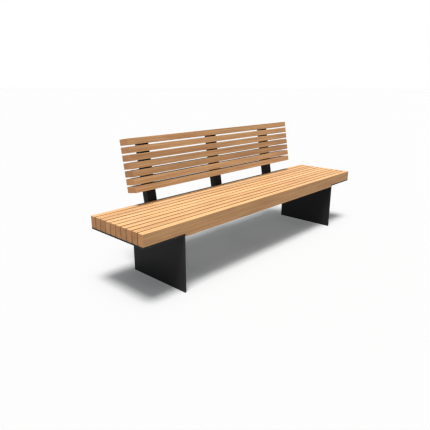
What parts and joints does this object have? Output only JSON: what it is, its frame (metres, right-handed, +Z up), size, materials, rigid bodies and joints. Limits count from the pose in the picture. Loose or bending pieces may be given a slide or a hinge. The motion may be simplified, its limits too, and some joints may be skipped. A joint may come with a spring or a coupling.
{
  "type": "park bench",
  "caption": "Long timber park bench: slats on edge form the seat and a leaning backrest, on black steel plate legs.",
  "frame": {"origin": "on the ground, at the centre of the whole bench's footprint", "axes": "+X along the bench, -Y towards the front where a sitter's legs are, +Z up"},
  "size_m": [2.3, 0.6415, 0.8665],
  "materials": {
    "slat_timber": "oiled, planed",
    "coated_steel": "fine-texture satin powder coat",
    "screw_steel": "satin stainless",
    "spacer_nylon": "matt"
  },
  "bodies": {
    "root": {"seat_slat_1": "slat_timber", "seat_slat_2": "slat_timber", "seat_slat_3": "slat_timber", "seat_slat_4": "slat_timber", "seat_slat_5": "slat_timber", "seat_slat_6": "slat_timber", "seat_slat_7": "slat_timber", "seat_slat_8": "slat_timber", "seat_slat_9": "slat_timber", "seat_slat_10": "slat_timber", "back_slat_1": "slat_timber", "back_slat_2": "slat_timber", "back_slat_3": "slat_timber", "back_slat_4": "slat_timber", "back_slat_5": "slat_timber", "back_slat_6": "slat_timber", "back_slat_7": "slat_timber", "leg_plate_left": "coated_steel", "leg_plate_right": "coated_steel", "seat_plate_left": "coated_steel", "seat_plate_right": "coated_steel", "back_post_left": "coated_steel", "back_post_middle": "coated_steel", "back_post_right": "coated_steel", "seat_arm_left": "coated_steel", "seat_arm_middle": "coated_steel", "seat_arm_right": "coated_steel", "plate_screws": "screw_steel", "plate_washers": "screw_steel", "arm_screws": "screw_steel", "arm_washers": "screw_steel", "back_screws": "screw_steel", "back_washers": "screw_steel", "back_spacers": "spacer_nylon"}
  },
  "joints": []
}
